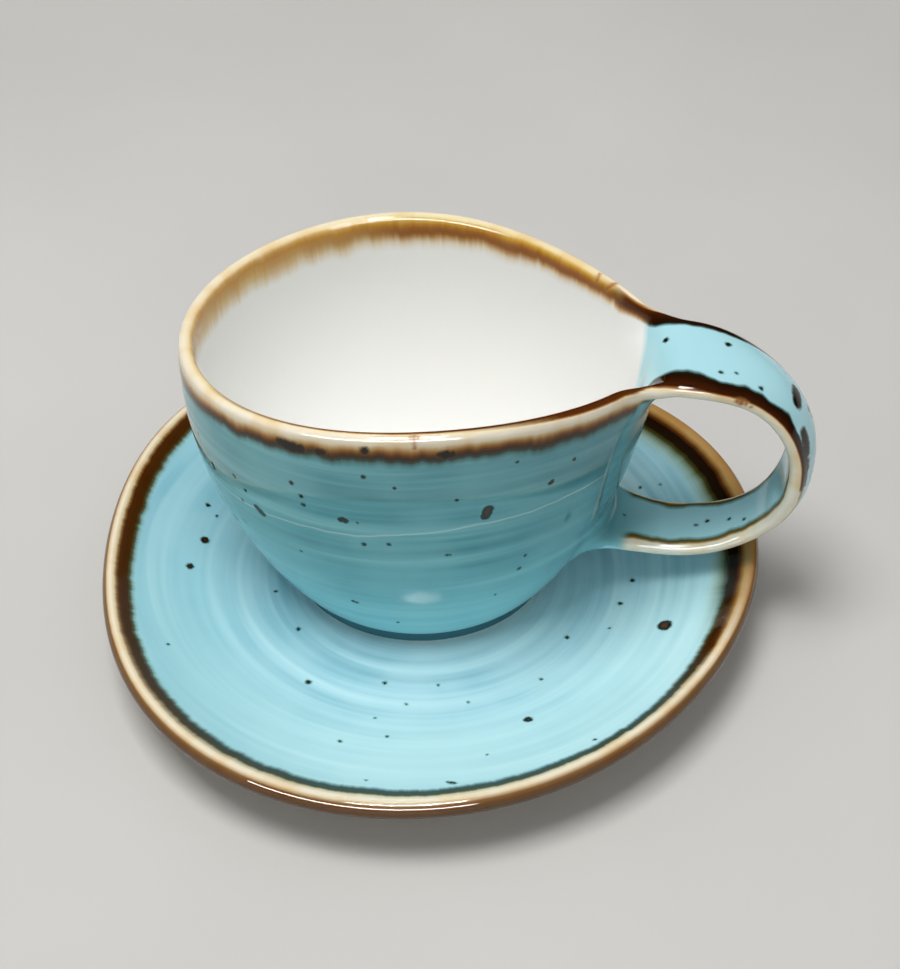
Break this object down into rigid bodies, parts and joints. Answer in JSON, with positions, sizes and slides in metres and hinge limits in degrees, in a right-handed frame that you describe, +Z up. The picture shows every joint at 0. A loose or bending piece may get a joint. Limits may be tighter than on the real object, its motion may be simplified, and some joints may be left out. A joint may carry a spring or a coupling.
{
  "type": "cup and saucer",
  "caption": "Egg-shaped porcelain cup whose lip runs on into a broad looped strap handle, standing on a dished saucer with an uneven round outline.",
  "frame": {"origin": "centre of the saucer's foot ring, on the plane that the saucer stands on", "axes": "+Z up, out of the cup's mouth; +X from the cup towards its handle; +Y towards the side of the saucer that the cup stands nearer to"},
  "size_m": [0.1722, 0.1619, 0.0805],
  "materials": {
    "saucer_glaze": "glossy turquoise reactive glaze with brown speckles and a cream and brown edge",
    "cup_glaze": "glossy turquoise reactive glaze outside, glossy white inside, cream and brown lip",
    "foot_bisque": "unglazed ground porcelain"
  },
  "bodies": {
    "saucer": {"saucer_plate": "saucer_glaze", "saucer_foot_ring": "foot_bisque"},
    "cup": {"cup_bowl": "cup_glaze", "cup_foot_ring": "foot_bisque", "cup_handle": "cup_glaze"}
  },
  "joints": [
    {"name": "cup_lift", "type": "slide", "parent": "saucer", "child": "cup", "axis": [0, 0, 1], "range_m": [0, 0.12]}
  ]
}
